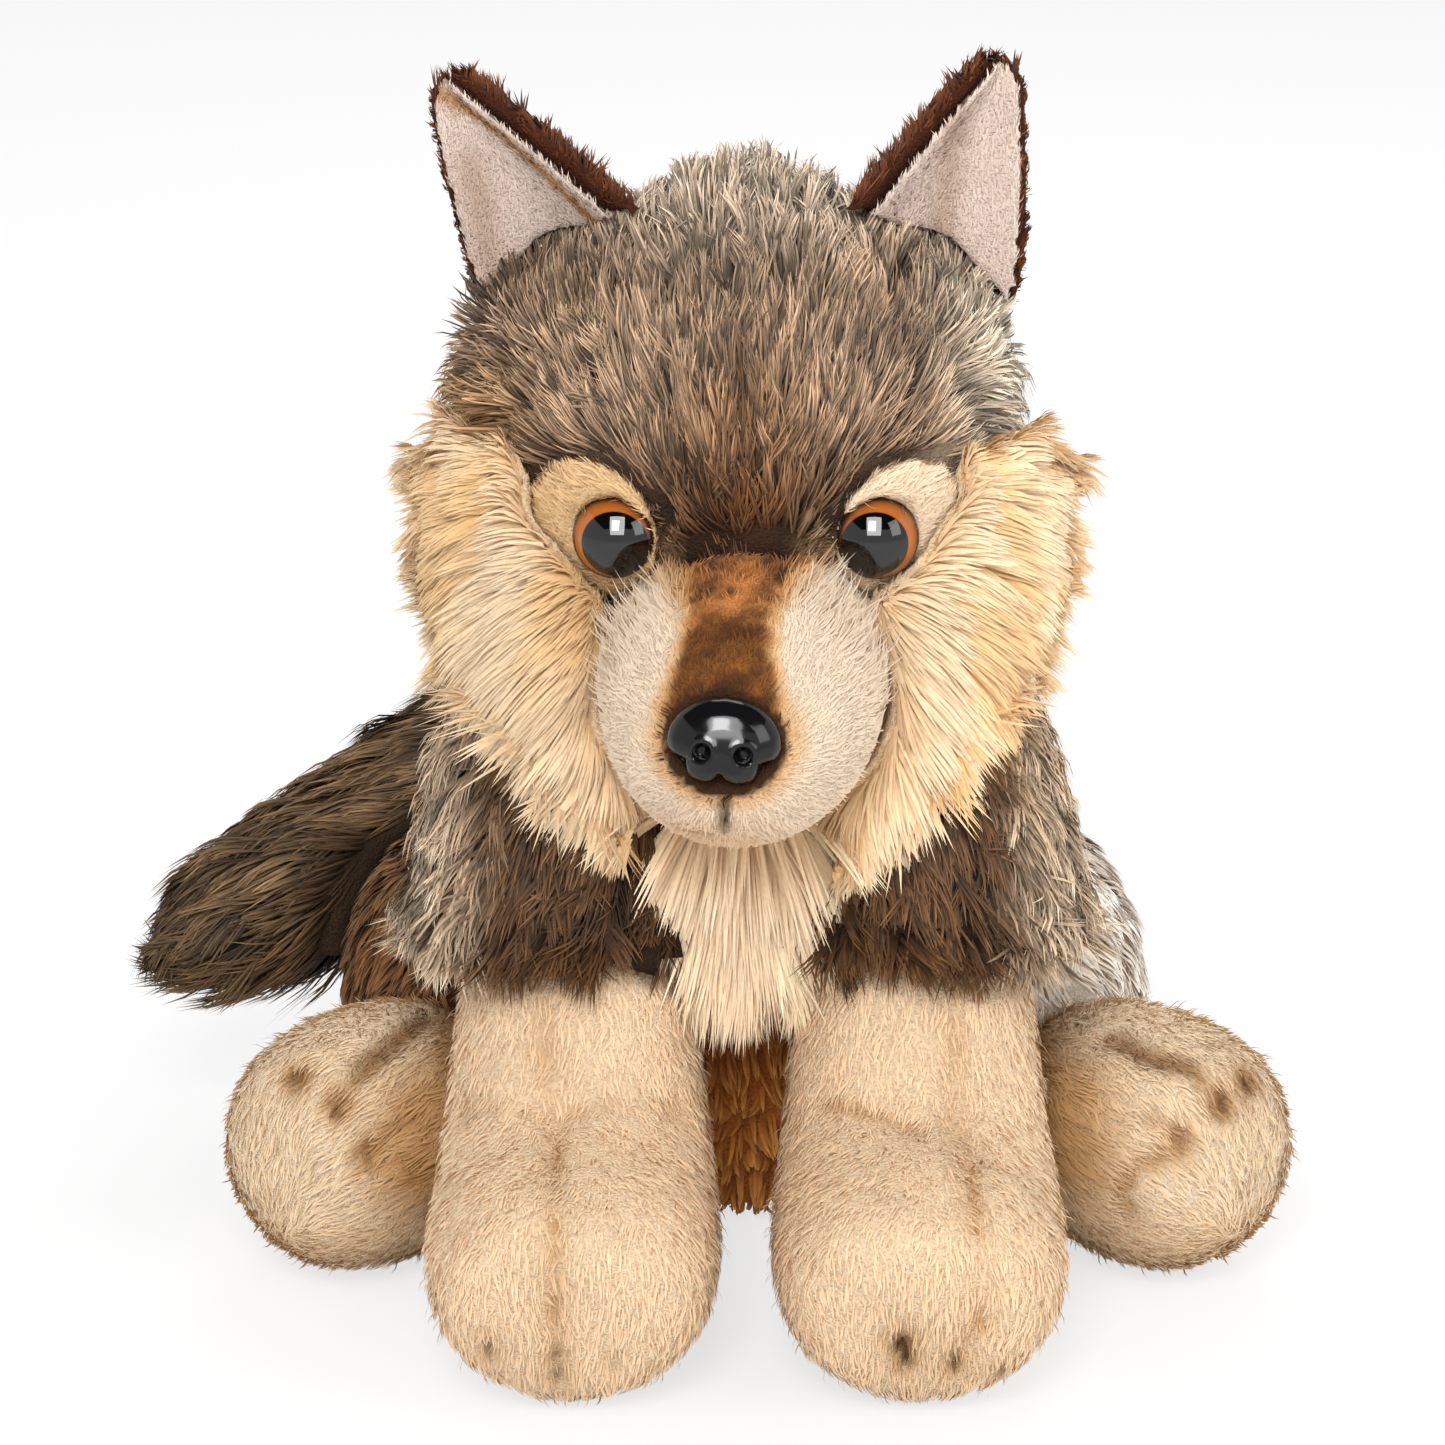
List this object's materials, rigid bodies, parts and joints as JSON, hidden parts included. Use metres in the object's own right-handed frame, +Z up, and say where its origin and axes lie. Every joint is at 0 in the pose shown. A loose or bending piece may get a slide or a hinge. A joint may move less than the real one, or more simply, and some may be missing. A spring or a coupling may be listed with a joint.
{
  "type": "plush wolf",
  "caption": "Seated stuffed wolf with long grey-brown fur, pale cheek ruffs and bib, cream paws, upright ears, amber eyes, black nose and a brush tail.",
  "frame": {"origin": "middle of the flat seat under the torso, on the surface that the wolf sits on", "axes": "+Z up; the wolf looks along -Y; +X is the wolf's own left"},
  "size_m": [0.2864, 0.2695, 0.2939],
  "materials": {
    "grey_brown_long_pile": "long pile, salt and pepper, matt",
    "gold_long_pile": "long pile, matt",
    "cream_short_pile": "short pile, matt",
    "mid_brown_pile": "short pile, matt",
    "ear_brown_pile": "short dense pile, matt",
    "ear_lining_pile": "very short pile, matt",
    "amber_eye_plastic": "clear gloss over amber, black pupil",
    "black_nose_plastic": "gloss",
    "washer_plastic": "moulded"
  },
  "bodies": {
    "root": {"torso": "mid_brown_pile", "head": "grey_brown_long_pile", "muzzle": "cream_short_pile", "left_brow_patch": "cream_short_pile", "right_brow_patch": "cream_short_pile", "left_cheek_ruff": "gold_long_pile", "right_cheek_ruff": "gold_long_pile", "chest_bib": "gold_long_pile", "left_ear_back": "ear_brown_pile", "right_ear_back": "ear_brown_pile", "left_ear_lining": "ear_lining_pile", "right_ear_lining": "ear_lining_pile", "left_sleeve": "grey_brown_long_pile", "right_sleeve": "grey_brown_long_pile", "left_forepaw": "cream_short_pile", "right_forepaw": "cream_short_pile", "left_thigh": "mid_brown_pile", "right_thigh": "mid_brown_pile", "left_hind_foot": "cream_short_pile", "right_hind_foot": "cream_short_pile", "tail": "grey_brown_long_pile", "left_eye": "amber_eye_plastic", "right_eye": "amber_eye_plastic", "left_eye_washer": "washer_plastic", "right_eye_washer": "washer_plastic", "nose": "black_nose_plastic", "nose_washer": "washer_plastic"}
  },
  "joints": []
}
